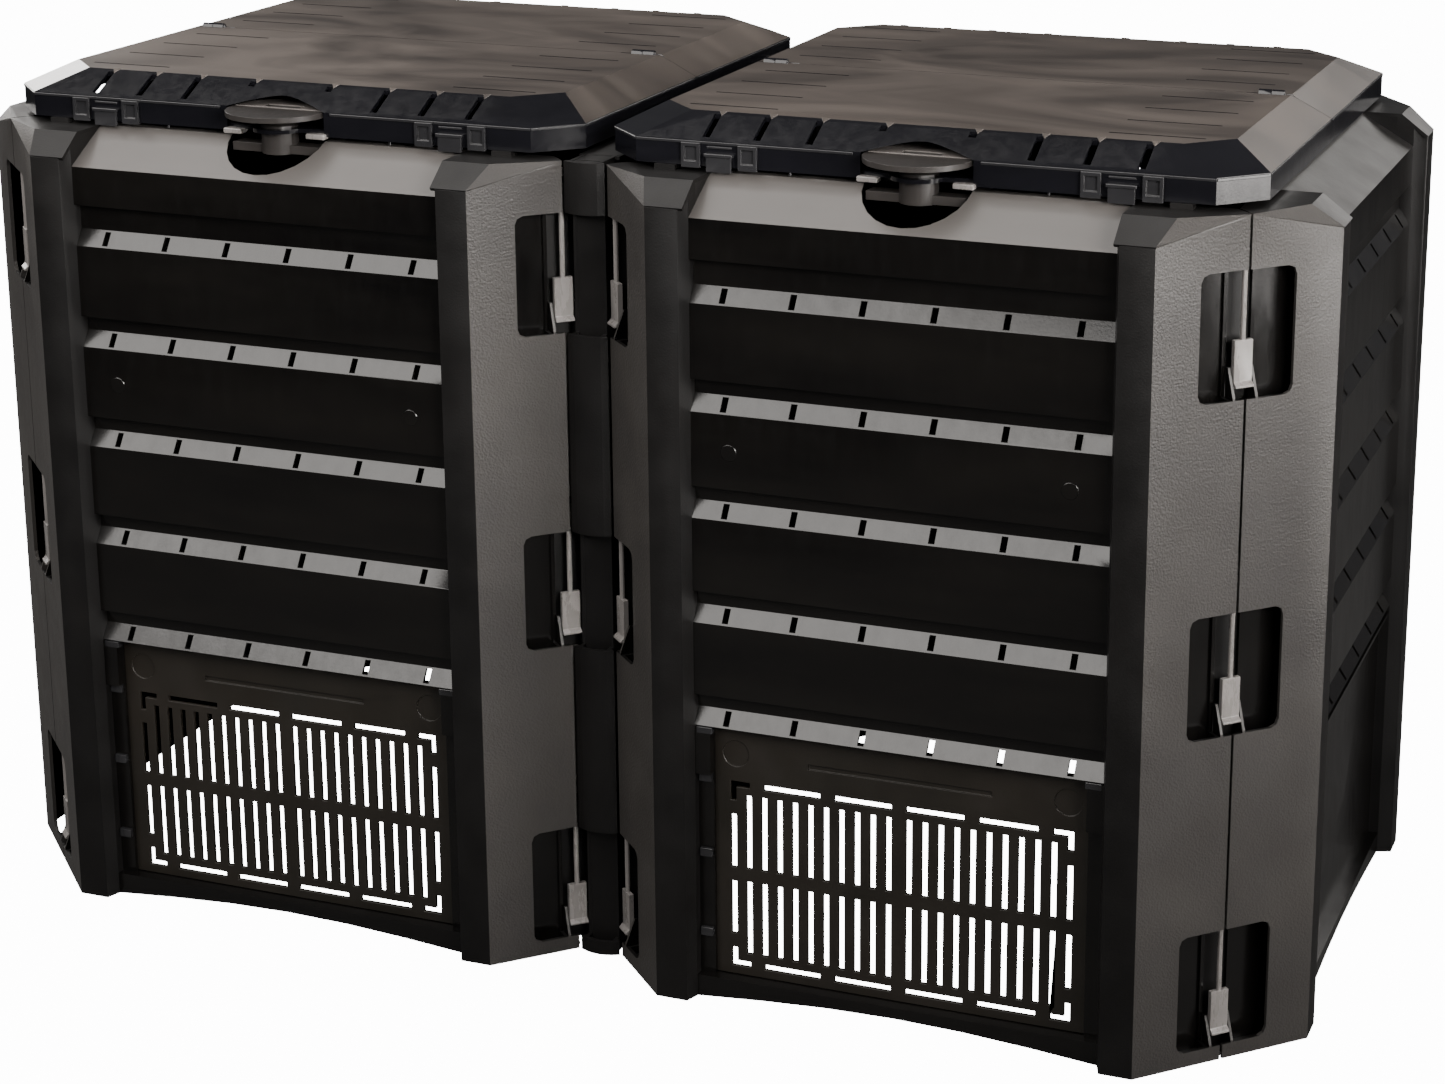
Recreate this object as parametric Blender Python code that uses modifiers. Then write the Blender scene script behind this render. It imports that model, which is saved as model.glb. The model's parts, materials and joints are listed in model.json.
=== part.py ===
"""Two-module garden composter: interlocking wall panels, corner connector pins, split lids with
turn knobs and lift-up emptying hatches. Metres, +Z up, front towards -Y, origin on the ground
under the middle of the divider wall."""

import math

import bmesh
import bpy
from mathutils import Matrix, Vector

# --- Driving dimensions ---------------------------------------------------------------------
HALF_MODULE = 0.3595        # module centre to the face of its posts
WING_CUT = 0.1305           # post face back to the corner that the wing cuts off
WALL = 0.0035               # thickness of every moulded skin
FIT_GAP = 0.0003            # between pieces that lie against each other
SEAM_GAP = 0.001            # from a seam to the panel on either side of it

POST_WIDTH = 0.031          # flat face of a post
POST_CHAMFER = 0.005        # inner edge of a post, seen from the front
POST_STAND_OUT = 0.014      # post face in front of the louvre slats
PLATEAU_TOP = 0.777         # flat top of the panels, under the lid
CAP_RISE = 0.020            # from the outer edge of a post's cap up to the plateau
PLATEAU_SETBACK = 0.0265    # post face to the start of the plateau
LANDING_DEPTH = 0.0795      # post face to the inner edge of the plateau
CAP_OVERHANG = 0.0005
SKIN_STEP = 0.0002          # keeps the louvred skin out of the plane of the cap

SLAT_RECESS = 0.010         # how far the bands between the slats stand back
LEDGE_COUNT = 5
LEDGE_OVER_HATCH = 0.0178   # top of the hatch opening to the middle of the lowest ledge
LEDGE_UNDER_BAND = 0.032    # foot of the top band to the middle of the highest ledge
LEDGE_HEIGHT = 0.015
LIP_GAP = 0.015             # recessed band above each ledge
TOP_BAND_HEIGHT = 0.037
ROOF_DROP = 0.031           # plateau to the top of the top band
ROOF_DEPTH = 0.0535         # how far the front roof runs back from the slats
VENT_COUNT = 6
VENT_WIDTH = 0.006
VENT_PITCH = 0.065

LOW_SILL = 0.014
MIDDLE_SILL = 0.312
HIGH_SILL_DROP = 0.161      # plateau to the sill of the highest window
WINDOW_HEIGHT = 0.113
WINDOW_REACH = 0.047        # seam to the far side of a window
WINDOW_CORNER = 0.008
INNER_SKIN_DEPTH = 0.018    # outer face of a wing to the skin behind it
FLANGE_START = 0.012        # seam to the flange that stiffens a panel's edge

PIN_RADIUS = 0.0025
PIN_REACH = 0.040           # how far the rod runs up past its window
PIN_HANDLE_RISE = 0.010     # sill to the underside of the handle
HANDLE_WIDTH = 0.018
HANDLE_HEIGHT = 0.041
HANDLE_THICKNESS = 0.005
EYE_HEIGHT = 0.007
EYE_WALL = 0.0015
EYE_CLEARANCE = 0.0003
EYE_SETBACK = 0.0002        # keeps the eye off the skin in front of it
FIRST_EYE = 0.010           # window top to the eye of a front or back panel
SECOND_EYE = 0.026          # window top to the eye of a side panel or the divider
CHEEK_HEIGHT = 0.027
CHEEK_DEPTH = 0.013
CHEEK_WIDTH = 0.0025

HATCH_LOW = 0.022           # top of the bottom rail
HATCH_HIGH = 0.262          # top of the hatch opening
HATCH_LAP = 0.008           # how far the hatch runs up behind the lowest ledge
HATCH_SIDE_GAP = 0.005      # edge of the hatch to the edge of its recess
HATCH_THICKNESS = 0.004
HATCH_TRAVEL = 0.180
HATCH_SLACK = 0.0005        # front and back play of the hatch in its guides
ARCH_RISE = 0.011
GRILLE_PITCH = 0.0151
GRILLE_MULLION = 0.0195     # between the two middle slots
GRILLE_COLUMNS = 10         # on each side of the mullion, and one more in the frame
SLOT_WIDTH = 0.0055
SLOT_ROWS = ((0.044, 0.117), (0.130, 0.203))
FRAME_SLOT_LOW = 0.033
FRAME_SLOT_HIGH = 0.213
FRAME_BRIDGE = 0.014
FRAME_CORNER_ARM = 0.016
GRIP_LENGTH = 0.175
GRIP_HEIGHT = 0.005
GRIP_DEPTH = 0.002
GRIP_LEVEL = 0.240
BOSS_RADIUS = 0.013
BOSS_DEPTH = 0.0012
BOSS_OFFSET = 0.158
BOSS_LEVEL = 0.243

LID_SIDE_SETBACK = 0.0585   # face of a side panel's posts to the lid's rim
LID_FRONT_SETBACK = 0.0635  # face of a front panel's posts to the lid's rim
LID_CORNER = 0.0375
LID_LIFT = 0.005            # plateau to the foot of the rim
LID_RIM_HEIGHT = 0.023
LID_BEVEL_RISE = 0.0195
LID_BEVEL = 0.038
LID_WALL = 0.004
LID_SEAM_GAP = 0.0005       # hinge line to the edge of each flap
LID_OPEN_SLOTS = 4          # rain slots at each end of a flap
LID_SLOT_LENGTH = 0.085
LID_SLOT_WIDTH = 0.003
LID_SLOT_PITCH = 0.0617
LID_SLOT_FIRST = 0.046      # hinge line to the nearest rain slot
LID_SLOT_END = 0.238        # module centre line to the outer ends of the rain slots
BEVEL_SLOT_WIDTH = 0.007
BEVEL_SLOT_PLACES = (0.101, 0.150, 0.198)
SHORT_SLOT_PLACE = 0.041    # the short slot above the knob's opening
HINGE_PIN_RADIUS = 0.002
HINGE_BARREL_RADIUS = 0.004
HINGE_OFFSET = 0.245
HINGE_KNUCKLE = 0.012
HINGE_PLAY = 0.0003

KNOB_SETBACK = 0.008        # lid's rim to the knob's axis
KNOB_RADIUS = 0.050
KNOB_DISC_SINK = 0.001      # top of the disc below the top of the rim
KNOB_DISC_THICKNESS = 0.005
KNOB_STEM_RADIUS = 0.018
KNOB_CAM_HALF = 0.046
KNOB_CAM_WIDTH = 0.018
KNOB_CAM_THICKNESS = 0.008
KNOB_CAM_GAP = 0.002        # under the plateau's skin
KNOB_HUB_RADIUS = 0.034      # where the cone under the disc meets it
KNOB_HUB_GAP = 0.002        # shelf to the foot of the cone
KNOB_GRIP_LENGTH = 0.034
KNOB_GRIP_WIDTH = 0.009
KNOB_GRIP_DEPTH = 0.003
KNOB_OPENING_GAP = 0.003    # around the disc
KNOB_OPENING_CROWN = 0.008  # radius of the opening where it ends on the bevel
KNOB_OPENING_RISE = 0.010   # of the arched opening above the rim
KNOB_SHELF_LIFT = 0.002     # foot of the rim to the underside of the shelf
KNOB_SHELF_THICKNESS = 0.004
KNOB_SHELF_RADIUS = 0.026
KNOB_SHELF_DEPTH = 0.050    # knob axis to the inner edge of the shelf
POCKET_GAP = 0.0031         # around the ends of the cam bar
KEEPER_START = 0.024        # knob axis to the strip that the cam turns under
KEEPER_WIDTH = 0.012
KEEPER_HALF = 0.062
PAD_PLACE = 0.235           # module centre line to the pad that carries the lid's rim
PAD_HALF = 0.010
PAD_DEPTH = 0.011
PYRAMID_FOOT = 0.135        # low pyramid on the closed foot of a panel
PYRAMID_TIP = 0.010
PYRAMID_DEPTH = 0.010
PYRAMID_STRETCH = 1.6

DIVIDER_SKIN_HALF = 0.02025 # half width of the bowed skin between the two seams
DIVIDER_SKIN_LAP = 0.00425  # how far the skin runs past the post on either side
DIVIDER_SKIN_PROUD = 0.00095
DIVIDER_BULGE = 0.006
DIVIDER_WEB_DEPTH = 0.00775 # seam to the web behind the windows
DIVIDER_POST_DEPTH = 0.03925
DIVIDER_RAIL_HALF = 0.020
DIVIDER_SLOT_LENGTH = 0.060
DIVIDER_SLOT_PITCH = 0.100
DIVIDER_SLOT_COLUMNS = 4

ROUND_STEPS = 16

# --- Places worked out from the driving dimensions ------------------------------------------
POST_CORNER = HALF_MODULE - WING_CUT
SEAM = (HALF_MODULE + POST_CORNER) / 2
MODULE_PITCH = 2 * (SEAM + DIVIDER_SKIN_HALF + SEAM_GAP)
POST_TOP = PLATEAU_TOP - CAP_RISE
TOP_BAND_HIGH = PLATEAU_TOP - ROOF_DROP
TOP_BAND_LOW = TOP_BAND_HIGH - TOP_BAND_HEIGHT
TOP_LEDGE = TOP_BAND_LOW - LEDGE_UNDER_BAND
LEDGE_PITCH = (TOP_LEDGE - HATCH_HIGH - LEDGE_OVER_HATCH) / (LEDGE_COUNT - 1)
WINDOW_SILLS = (LOW_SILL, MIDDLE_SILL, PLATEAU_TOP - HIGH_SILL_DROP)
PIN_DEPTH = WALL + EYE_SETBACK + EYE_WALL + EYE_CLEARANCE + PIN_RADIUS
SLAT_FACE = HALF_MODULE - POST_STAND_OUT
BAND_FACE = SLAT_FACE - SLAT_RECESS
POST_INNER = POST_CORNER - POST_WIDTH
FIELD_HALF = POST_INNER - POST_CHAMFER
HATCH_FRONT = BAND_FACE - WALL - HATCH_SLACK
HATCH_BACK = HATCH_FRONT - HATCH_THICKNESS
ROOF_BACK = SLAT_FACE - ROOF_DEPTH
LANDING = HALF_MODULE - LANDING_DEPTH
TUBE_BACK = HATCH_BACK + 0.001
DIAGONAL = math.sqrt(0.5)
HATCH_TOP = HATCH_HIGH + HATCH_LAP
HATCH_HALF_WIDTH = FIELD_HALF - HATCH_SIDE_GAP
LID_HALF_WIDTH = HALF_MODULE - LID_SIDE_SETBACK
LID_HALF_DEPTH = HALF_MODULE - LID_FRONT_SETBACK
LID_RIM_LOW = PLATEAU_TOP + LID_LIFT
LID_RIM_HIGH = LID_RIM_LOW + LID_RIM_HEIGHT
LID_TOP = LID_RIM_HIGH + LID_BEVEL_RISE
KNOB_AXIS = LID_HALF_DEPTH - KNOB_SETBACK
KNOB_DISC_HIGH = LID_RIM_HIGH - KNOB_DISC_SINK
KNOB_DISC_LOW = KNOB_DISC_HIGH - KNOB_DISC_THICKNESS
KNOB_SHELF_LOW = LID_RIM_LOW + KNOB_SHELF_LIFT
KNOB_SHELF_HIGH = KNOB_SHELF_LOW + KNOB_SHELF_THICKNESS
KNOB_HUB_LOW = KNOB_SHELF_HIGH + KNOB_HUB_GAP
KNOB_CAM_HIGH = PLATEAU_TOP - WALL - KNOB_CAM_GAP
KNOB_CAM_LOW = KNOB_CAM_HIGH - KNOB_CAM_THICKNESS
KNOB_OPENING_RADIUS = KNOB_RADIUS + KNOB_OPENING_GAP
KNOB_OPENING_TOP = LID_RIM_HIGH + KNOB_OPENING_RISE
POCKET_RADIUS = math.hypot(KNOB_CAM_HALF, KNOB_CAM_WIDTH / 2) + POCKET_GAP
DIVIDER_POST_HALF = DIVIDER_SKIN_HALF - DIVIDER_SKIN_LAP
DIVIDER_SKIN_EDGE = SEAM + DIVIDER_SKIN_PROUD
DIVIDER_WEB = SEAM - DIVIDER_WEB_DEPTH
DIVIDER_POST_BACK = SEAM - DIVIDER_POST_DEPTH
DIVIDER_EYE_LENGTH = (DIVIDER_SKIN_HALF + SEAM_GAP - DIVIDER_POST_HALF + WALL) / DIAGONAL + PIN_DEPTH
COLOURS = {
    "panel": (0.020, 0.018, 0.017, 1.0),
    "lid": (0.040, 0.035, 0.032, 1.0),
    "fitting": (0.014, 0.014, 0.015, 1.0),
    "hatch": (0.018, 0.015, 0.012, 1.0),
    "steel": (0.350, 0.350, 0.360, 1.0),
}


# --- Mesh helpers ---------------------------------------------------------------------------
def clear_scene():
    for obj in list(bpy.data.objects):
        bpy.data.objects.remove(obj, do_unlink=True)


def make_collection(name, hidden=False):
    collection = bpy.data.collections.new(name)
    collection.hide_render = hidden
    bpy.context.scene.collection.children.link(collection)
    return collection


def make_material(name, colour, roughness):
    material = bpy.data.materials.new(name)
    material.use_nodes = True
    shader = material.node_tree.nodes["Principled BSDF"]
    shader.inputs["Base Color"].default_value = colour
    shader.inputs["Roughness"].default_value = roughness
    shader.inputs["Metallic"].default_value = 0.0
    return material


def work_object(mesh, name="work"):
    """A temporary object, in the collection that isn't rendered."""
    obj = bpy.data.objects.new(name, mesh)
    obj.hide_render = True
    obj.display_type = "WIRE"
    workbench.objects.link(obj)
    return obj


def bake(obj):
    """The object's evaluated mesh, welded; the object is removed."""
    bpy.context.view_layer.update()
    graph = bpy.context.evaluated_depsgraph_get()
    mesh = bpy.data.meshes.new_from_object(obj.evaluated_get(graph))
    mesh.transform(obj.matrix_world)
    bpy.data.objects.remove(obj, do_unlink=True)
    shape = bmesh.new()
    shape.from_mesh(mesh)
    bmesh.ops.remove_doubles(shape, verts=shape.verts, dist=1e-6)
    shape.to_mesh(mesh)
    shape.free()
    return mesh


def outward(mesh):
    shape = bmesh.new()
    shape.from_mesh(mesh)
    bmesh.ops.recalc_face_normals(shape, faces=shape.faces)
    shape.to_mesh(mesh)
    shape.free()
    return mesh


def prism(outlines, low, high, matrix=Matrix.Identity(4)):
    """A flat outline, with any holes after it, extruded from low to high along Z."""
    curve = bpy.data.curves.new("outline", "CURVE")
    curve.dimensions = "2D"
    curve.fill_mode = "BOTH"
    curve.extrude = (high - low) / 2
    for outline in outlines:
        spline = curve.splines.new("POLY")
        spline.points.add(len(outline) - 1)
        for point, (x, y) in zip(spline.points, outline):
            point.co = (x, y, 0.0, 1.0)
        spline.use_cyclic_u = True
    obj = bpy.data.objects.new("outline", curve)
    obj.location = (0.0, 0.0, (low + high) / 2)
    workbench.objects.link(obj)
    mesh = bake(obj)
    bpy.data.curves.remove(curve)
    mesh.transform(matrix)
    return outward(mesh)


def box(low, high, matrix=Matrix.Identity(4)):
    low, high = Vector(low), Vector(high)
    size = high - low
    place = Matrix.Translation((low + high) / 2) @ Matrix.Diagonal((*size, 1.0))
    shape = bmesh.new()
    bmesh.ops.create_cube(shape, size=1.0, matrix=place)
    mesh = bpy.data.meshes.new("box")
    shape.to_mesh(mesh)
    shape.free()
    mesh.transform(matrix)
    return outward(mesh)


def cylinder(radius, low, high, centre=(0.0, 0.0), steps=ROUND_STEPS, top_radius=None):
    shape = bmesh.new()
    place = Matrix.Translation((centre[0], centre[1], (low + high) / 2))
    top = radius if top_radius is None else top_radius
    bmesh.ops.create_cone(shape, cap_ends=True, segments=steps, radius1=radius, radius2=top,
                          depth=high - low, matrix=place)
    mesh = bpy.data.meshes.new("cylinder")
    shape.to_mesh(mesh)
    shape.free()
    return mesh


def joined(meshes):
    """Shapes that stay clear of each other, as one mesh."""
    shape = bmesh.new()
    for mesh in meshes:
        shape.from_mesh(mesh)
    result = bpy.data.meshes.new("joined")
    shape.to_mesh(result)
    shape.free()
    return result


def boolean(mesh, tool, operation):
    body = work_object(mesh)
    cutter = work_object(tool)
    modifier = body.modifiers.new("boolean", "BOOLEAN")
    modifier.operation = operation
    modifier.solver = "EXACT"
    modifier.object = cutter
    result = bake(body)
    bpy.data.objects.remove(cutter, do_unlink=True)
    return result


def add(mesh, *tools):
    for tool in tools:
        mesh = boolean(mesh, tool, "UNION")
    return mesh


def cut(mesh, *tools):
    for tool in tools:
        mesh = boolean(mesh, tool, "DIFFERENCE")
    return mesh


def shell(mesh, thickness):
    """An open sheet given its wall on the side away from its normals."""
    obj = work_object(mesh)
    modifier = obj.modifiers.new("wall", "SOLIDIFY")
    modifier.thickness = thickness
    modifier.offset = -1.0
    modifier.use_even_offset = True
    return bake(obj)


def mirrored(mesh, axis=(1.0, 0.0, 0.0)):
    copy = mesh.copy()
    copy.transform(Matrix.Scale(-1.0, 4, Vector(axis)))
    copy.flip_normals()
    return copy


def sheet(points, faces):
    """A few flat facets between named corners."""
    mesh = bpy.data.meshes.new("sheet")
    mesh.from_pydata(points, [], faces)
    return mesh


def swept(profile, low, high):
    """An open (y, z) line swept along X as a sheet whose normals face -Y."""
    points = [(x, y, z) for x in (low, high) for y, z in profile]
    count = len(profile)
    faces = [(i, count + i, count + i + 1, i + 1) for i in range(count - 1)]
    return sheet(points, faces)


def inset(outline, distance):
    """A closed outline, counter-clockwise, moved inwards by its wall."""
    count = len(outline)
    result = []
    for i in range(count):
        before = Vector(outline[i - 1])
        here = Vector(outline[i])
        after = Vector(outline[(i + 1) % count])
        first = (here - before).normalized()
        second = (after - here).normalized()
        first_normal = Vector((-first.y, first.x))
        second_normal = Vector((-second.y, second.x))
        middle = (first_normal + second_normal).normalized()
        result.append(tuple(here + middle * distance / middle.dot(first_normal)))
    return result


def arc(centre, radius, start, end, steps):
    angles = [math.radians(start + (end - start) * i / steps) for i in range(steps + 1)]
    return [(centre[0] + radius * math.cos(a), centre[1] + radius * math.sin(a)) for a in angles]


def finish(name, mesh, material, matrix=Matrix.Identity(4)):
    """A named piece of the composter."""
    obj = bpy.data.objects.new(name, mesh)
    if not mesh.materials:
        mesh.materials.append(material)
    obj.matrix_world = matrix
    composter.objects.link(obj)
    return obj


# --- The corner, in its own frame -----------------------------------------------------------
# along: from the seam towards the post of the panel; depth: from the wing's face inwards.
def corner_frame():
    """Maps (along, height, -depth) to a panel's right corner: X along, Y up, Z outwards."""
    along = Vector((-DIAGONAL, -DIAGONAL, 0.0))
    outwards = Vector((DIAGONAL, -DIAGONAL, 0.0))
    frame = Matrix((along, Vector((0.0, 0.0, 1.0)), outwards)).transposed().to_4x4()
    return Matrix.Translation((SEAM, -SEAM, 0.0)) @ frame


def corner_point(along, depth):
    return (SEAM - (along + depth) * DIAGONAL, -SEAM + (depth - along) * DIAGONAL)


def pin_point():
    return corner_point(0.0, PIN_DEPTH)


def eye(level, reach=FLANGE_START + WALL / 2):
    """A lug with a square hole for the connector pin, reaching across the seam."""
    hole = PIN_RADIUS + EYE_CLEARANCE
    edge = hole + EYE_WALL
    face = -PIN_DEPTH + edge - EYE_SETBACK
    outer = ((-edge, -PIN_DEPTH - edge), (reach, -PIN_DEPTH - edge), (reach, face), (-edge, face))
    inner = ((-hole, -PIN_DEPTH - hole), (hole, -PIN_DEPTH - hole),
             (hole, -PIN_DEPTH + hole), (-hole, -PIN_DEPTH + hole))
    # The outline lies in (along, outwards), so Z of the prism becomes height.
    turn = corner_frame() @ Matrix(((1, 0, 0, 0), (0, 0, 1, 0), (0, 1, 0, 0), (0, 0, 0, 1)))
    return prism((outer, inner), level, level + EYE_HEIGHT, turn)


def cheek(sill):
    """A sloping gusset on the window sill that guards the pin's handle."""
    outline = ((-0.0005, sill - 0.004), (-CHEEK_DEPTH, sill - 0.004),
               (-CHEEK_DEPTH, sill + CHEEK_HEIGHT), (-CHEEK_DEPTH + 0.003, sill + CHEEK_HEIGHT),
               (-0.0005, sill + 0.002))
    start = FLANGE_START + 0.0005 - CHEEK_WIDTH
    turn = corner_frame() @ Matrix(((0, 0, 1, 0), (0, 1, 0, 0), (1, 0, 0, 0), (0, 0, 0, 1)))
    return prism((outline,), start, FLANGE_START + 0.0005, turn)


def window(sill, reach, depth):
    """The cutter for one half of a corner window, with its two far corners rounded."""
    top = sill + WINDOW_HEIGHT
    r = WINDOW_CORNER
    outline = [(-0.003, sill)]
    outline += arc((reach - r, sill + r), r, -90, 0, 2)
    outline += arc((reach - r, top - r), r, 0, 90, 2)
    outline += [(-0.003, top)]
    return prism((outline,), -depth, 0.010, corner_frame())


# --- Wall panels ----------------------------------------------------------------------------
def cap_points():
    """Corners of the sloping cap over a post and its wing: outer edge, then plateau."""
    face = HALF_MODULE
    back = HALF_MODULE - PLATEAU_SETBACK
    seam_x, seam_y = corner_point(SEAM_GAP, 0.0)
    top_x, top_y = corner_point(SEAM_GAP, 0.006)
    inner_x = LANDING - 2 * SEAM_GAP * DIAGONAL
    return [
        (FIELD_HALF, -face, POST_TOP),
        (POST_CORNER, -face, POST_TOP),
        (seam_x, seam_y, PLATEAU_TOP - 0.0005),
        (FIELD_HALF, -back, PLATEAU_TOP),
        (POST_CORNER + 0.011, -back, PLATEAU_TOP),
        (top_x, top_y, PLATEAU_TOP),
        (inner_x, -LANDING, PLATEAU_TOP),
        (FIELD_HALF, -LANDING, PLATEAU_TOP),
    ]


CAP_FACES = [(0, 1, 4, 3), (1, 2, 4), (2, 5, 4), (3, 4, 5, 6, 7)]


def cap_sheet(drop):
    return sheet([(x, y, z - drop) for x, y, z in cap_points()], CAP_FACES)


def above_cap():
    """Everything over the middle of the cap, to trim the post and wing to it."""
    low = cap_sheet(WALL / 2)
    shape = bmesh.new()
    shape.from_mesh(low)
    raised = bmesh.ops.extrude_face_region(shape, geom=shape.faces[:])
    moved = [item for item in raised["geom"] if isinstance(item, bmesh.types.BMVert)]
    bmesh.ops.translate(shape, verts=moved, vec=(0.0, 0.0, 0.1))
    bmesh.ops.recalc_face_normals(shape, faces=shape.faces)
    shape.to_mesh(low)
    shape.free()
    return low


def post_outline():
    """Plan of the hollow post and wing on the right, counter-clockwise."""
    face = HALF_MODULE - CAP_OVERHANG
    corner = POST_CORNER - CAP_OVERHANG / 2
    skin_depth = INNER_SKIN_DEPTH + WALL
    inner_end = corner_point(FLANGE_START, skin_depth)
    # The inner skin runs at 45 degrees until it meets the back of the post.
    reach = 2 * SEAM - skin_depth / DIAGONAL - TUBE_BACK
    return [
        (FIELD_HALF, -SLAT_FACE),
        (POST_INNER, -face),
        (corner, -face),
        corner_point(FLANGE_START, CAP_OVERHANG),
        inner_end,
        (reach, -TUBE_BACK),
        (FIELD_HALF, -TUBE_BACK),
    ]


def post(eye_rise, with_fittings=True):
    """One post with its wing, seam lip, windows, pin eyes and cap, on the right."""
    outline = post_outline()
    start = SEAM_GAP + FIT_GAP
    lip = [corner_point(start, CAP_OVERHANG), corner_point(start, WALL), corner_point(FLANGE_START, WALL)]
    tube = prism((outline[:3] + lip + outline[4:], inset(outline, WALL)), 0.0, PLATEAU_TOP + 0.01)
    brow = box((FIELD_HALF + 0.0002, -SLAT_FACE + 0.002, TOP_BAND_HIGH - 0.012),
               (FIELD_HALF + WALL - 0.0002, -LANDING - 0.002, PLATEAU_TOP + 0.01))
    body = add(tube, brow)
    body = cut(body, above_cap())
    body = add(body, shell(cap_sheet(0.0), WALL))
    for sill in WINDOW_SILLS:
        body = cut(body, window(sill, WINDOW_REACH, INNER_SKIN_DEPTH - 0.003))
    if with_fittings:
        fittings = [eye(sill + WINDOW_HEIGHT + eye_rise) for sill in WINDOW_SILLS]
        fittings += [cheek(sill) for sill in WINDOW_SILLS]
        body = add(body, joined(fittings))
    return body


def louvre_line():
    """The wall's section from the landing under the lid down to the lowest slat."""
    top = PLATEAU_TOP - SKIN_STEP
    line = [(-LANDING - SKIN_STEP, top), (-ROOF_BACK, top), (-SLAT_FACE, TOP_BAND_HIGH)]
    line += [(-SLAT_FACE, TOP_BAND_LOW), (-BAND_FACE, TOP_BAND_LOW)]
    for i in range(LEDGE_COUNT):
        middle = TOP_LEDGE - i * LEDGE_PITCH
        line.append((-BAND_FACE, middle + LEDGE_HEIGHT / 2))
        line.append((-SLAT_FACE, middle - LEDGE_HEIGHT / 2))
        if i < LEDGE_COUNT - 1:
            lip = middle - LEDGE_PITCH + LEDGE_HEIGHT / 2 + LIP_GAP
            line += [(-SLAT_FACE, lip), (-BAND_FACE, lip)]
    return line


def vents():
    """Box cutters for the vent slots through the ledges."""
    reach = WALL + 0.004
    found = []
    for i in range(LEDGE_COUNT):
        middle = TOP_LEDGE - i * LEDGE_PITCH
        half = LEDGE_HEIGHT / 2 - 0.0015
        for j in range(VENT_COUNT):
            x = (j - (VENT_COUNT - 1) / 2) * VENT_PITCH
            found.append(box((x - VENT_WIDTH / 2, -SLAT_FACE - 0.004, middle - half),
                             (x + VENT_WIDTH / 2, -BAND_FACE + reach, middle + half)))
    return joined(found)


def bottom_rail():
    """The rail across the foot of a panel, arched underneath, with a seat for the hatch."""
    half = FIELD_HALF + WALL / 2
    steps = 6
    arch = [(-half + 2 * half * i / steps, ARCH_RISE * math.sin(math.pi * i / steps))
            for i in range(steps + 1)]
    outline = arch + [(half, HATCH_LOW - FIT_GAP), (-half, HATCH_LOW - FIT_GAP)]
    upright = Matrix(((1, 0, 0, 0), (0, 0, -1, 0), (0, 1, 0, 0), (0, 0, 0, 1)))
    face = prism((outline,), SLAT_FACE - WALL, SLAT_FACE - 0.0005, upright)
    seat = box((-half, -SLAT_FACE + WALL / 2, HATCH_LOW - FIT_GAP - WALL),
               (half, -HATCH_BACK + 0.002, HATCH_LOW - FIT_GAP - 0.0003))
    return add(face, seat)


def keeper():
    """The strip inside the panel's top that the knob's cam turns under."""
    inner = KNOB_AXIS - KEEPER_START
    return box((-KEEPER_HALF, -LANDING - 0.004, PLATEAU_TOP - WALL + 0.0003),
               (KEEPER_HALF, -inner + KEEPER_WIDTH, PLATEAU_TOP - 0.0004))


def knob_pocket():
    """The D-shaped cutter that lets the knob and its cam through the roof."""
    chord = KEEPER_START
    start = math.degrees(math.asin(chord / POCKET_RADIUS))
    outline = arc((0.0, -KNOB_AXIS), POCKET_RADIUS, 180 - start, 360 + start, ROUND_STEPS)
    return prism((outline,), PLATEAU_TOP - 0.060, PLATEAU_TOP + 0.02)


def lid_pads():
    """Low pads that carry the rim of a flap, near the ends of the panel."""
    front = -LID_HALF_DEPTH - (PAD_DEPTH - LID_WALL * 2)
    return joined([box((side * PAD_PLACE - PAD_HALF, front, PLATEAU_TOP - WALL + 0.0005),
                       (side * PAD_PLACE + PAD_HALF, front + PAD_DEPTH, LID_RIM_LOW - FIT_GAP))
                   for side in (-1, 1)])


def hatch_guides():
    """Jambs in front of the hatch, hooks under the lowest ledge, and channels behind it."""
    top = HATCH_LOW + (HATCH_HIGH - HATCH_LOW) + HATCH_TRAVEL + 0.004
    found = []
    for side in (-1, 1):
        outer = side * (FIELD_HALF + WALL / 2)
        jamb = side * (HATCH_HALF_WIDTH - 0.010)
        x_low, x_high = sorted((jamb, outer))
        front = box((x_low, -BAND_FACE - 0.001, HATCH_LOW - 0.002),
                    (x_high, -HATCH_FRONT - HATCH_SLACK, HATCH_HIGH + 0.014))
        hook = box((x_low, -SLAT_FACE + 0.0006, HATCH_HIGH - 0.038),
                   (x_high, -BAND_FACE, HATCH_HIGH + 0.008))
        rail_back = HATCH_BACK - HATCH_SLACK
        riser = side * (HATCH_HALF_WIDTH + 0.001)
        channel = [(side * (HATCH_HALF_WIDTH - 0.006), -rail_back + WALL),
                   (side * (HATCH_HALF_WIDTH - 0.006), -rail_back),
                   (riser, -rail_back), (riser, -TUBE_BACK - WALL / 2),
                   (side * (FIELD_HALF + WALL), -TUBE_BACK - WALL / 2),
                   (side * (FIELD_HALF + WALL), -rail_back + WALL)]
        found += [add(front, hook), prism((channel,), HATCH_LOW - 0.002, top)]
    return found


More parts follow.
